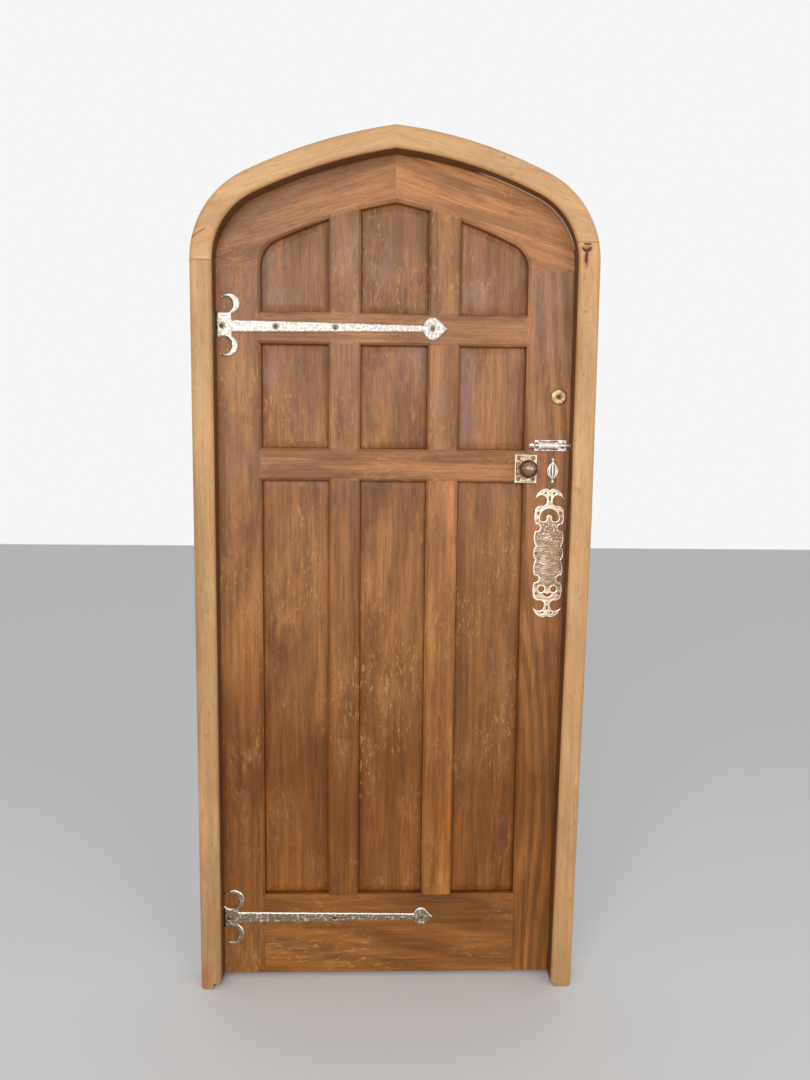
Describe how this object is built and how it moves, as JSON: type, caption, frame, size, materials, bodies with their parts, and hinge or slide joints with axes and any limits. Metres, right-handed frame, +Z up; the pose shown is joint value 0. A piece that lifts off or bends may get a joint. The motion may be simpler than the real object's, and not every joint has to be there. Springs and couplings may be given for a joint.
{
  "type": "arched panelled door in its frame",
  "caption": "Oak panelled door with a four-centred arched head in its rebated frame, with strap hinge fronts, knobs, mortice lock, night latch, slide bolt and pierced finger plate.",
  "frame": {"origin": "on the ground, midway between the jambs and in the middle of the leaf's thickness", "axes": "+X to the right seen from the front (lock side), +Y into the doorway away from the viewer (the way the leaf opens), +Z up"},
  "size_m": [0.882, 0.154, 1.9356],
  "materials": {
    "frame_oak": "clear varnish over pale oak",
    "leaf_oak": "clear varnish over weathered oak",
    "panel_oak": "clear varnish over weathered oak",
    "bright_steel": "bright, hand forged",
    "plain_steel": "plain",
    "nickel": "worn nickel",
    "lock_steel": "plain",
    "bronze": "dark, polished by hands",
    "brass": "worn",
    "latch_enamel": "bronze coloured enamel"
  },
  "bodies": {
    "frame": {"hinge_jamb": "frame_oak", "lock_jamb": "frame_oak", "frame_head_left": "frame_oak", "frame_head_right": "frame_oak", "frame_dowels": "frame_oak", "upper_hinge_jamb_half": "plain_steel", "lower_hinge_jamb_half": "plain_steel", "hinge_pins": "plain_steel", "jamb_screws": "plain_steel", "strike_plate": "plain_steel", "night_latch_keep": "plain_steel"},
    "knobs": {"front_knob": "bronze", "rear_knob": "bronze", "spindle": "lock_steel"},
    "latch_bolt": {"latch_bolt": "lock_steel"},
    "dead_bolt": {"dead_bolt": "lock_steel"},
    "keyhole_cover": {"keyhole_cover": "nickel"},
    "slide_bolt": {"slide_bolt_bar": "nickel"},
    "night_latch_knob": {"night_latch_knob": "latch_enamel"},
    "night_latch_bolt": {"night_latch_bolt": "latch_enamel"},
    "cylinder_plug": {"cylinder_plug": "brass"},
    "door": {"hinge_stile": "leaf_oak", "lock_stile": "leaf_oak", "head_rail_left": "leaf_oak", "head_rail_right": "leaf_oak", "head_dowels": "leaf_oak", "upper_rail": "leaf_oak", "lock_rail": "leaf_oak", "bottom_rail": "leaf_oak", "upper_muntin_left": "leaf_oak", "upper_muntin_right": "leaf_oak", "middle_muntin_left": "leaf_oak", "middle_muntin_right": "leaf_oak", "lower_muntin_left": "leaf_oak", "lower_muntin_right": "leaf_oak", "top_left_panel": "panel_oak", "top_centre_panel": "panel_oak", "top_right_panel": "panel_oak", "middle_left_panel": "panel_oak", "middle_centre_panel": "panel_oak", "middle_right_panel": "panel_oak", "lower_left_panel": "panel_oak", "lower_centre_panel": "panel_oak", "lower_right_panel": "panel_oak", "upper_hinge_front": "bright_steel", "lower_hinge_front": "bright_steel", "hinge_front_screws": "bright_steel", "upper_hinge_leaf_half": "plain_steel", "lower_hinge_leaf_half": "plain_steel", "edge_screws": "plain_steel", "knob_plate": "nickel", "rear_knob_plate": "nickel", "keyhole_plate": "nickel", "rear_keyhole_plate": "nickel", "plate_screws": "nickel", "finger_plate": "nickel", "slide_bolt_body": "nickel", "lock_case": "lock_steel", "latch_cylinder": "brass", "night_latch_case": "latch_enamel"}
  },
  "joints": [
    {"name": "door_swing", "type": "hinge", "parent": "frame", "child": "door", "pos_m": [-0.4045, 0.0285, 0], "axis": [0, 0, 1], "range_deg": [0, 105]},
    {"name": "knob_turn", "type": "hinge", "parent": "door", "child": "knobs", "pos_m": [0.298, 0, 1.2145], "axis": [0, 1, 0], "range_deg": [0, 45]},
    {"name": "latch_slide", "type": "slide", "parent": "door", "child": "latch_bolt", "axis": [1, 0, 0], "range_m": [0, 0.01]},
    {"name": "dead_bolt_slide", "type": "slide", "parent": "door", "child": "dead_bolt", "axis": [1, 0, 0], "range_m": [0, 0.01]},
    {"name": "keyhole_cover_swing", "type": "hinge", "parent": "door", "child": "keyhole_cover", "pos_m": [0.3587, -0.0245, 1.2275], "axis": [0, 1, 0], "range_deg": [-42, 60]},
    {"name": "slide_bolt_slide", "type": "slide", "parent": "door", "child": "slide_bolt", "axis": [1, 0, 0], "range_m": [0, 0.008]},
    {"name": "night_latch_turn", "type": "hinge", "parent": "door", "child": "night_latch_knob", "pos_m": [0.368, 0.05, 1.375], "axis": [0, 1, 0], "range_deg": [0, 60]},
    {"name": "night_latch_slide", "type": "slide", "parent": "door", "child": "night_latch_bolt", "axis": [1, 0, 0], "range_m": [0, 0.012]},
    {"name": "cylinder_turn", "type": "hinge", "parent": "door", "child": "cylinder_plug", "pos_m": [0.368, 0, 1.375], "axis": [0, 1, 0], "range_deg": [0, 60]}
  ],
  "couplings": [
    {"joint": "latch_slide", "follows": "knob_turn", "m_per_rad": 0.01273},
    {"joint": "night_latch_slide", "follows": "night_latch_turn", "m_per_rad": 0.011459},
    {"joint": "cylinder_turn", "follows": "night_latch_turn", "ratio": 1}
  ]
}
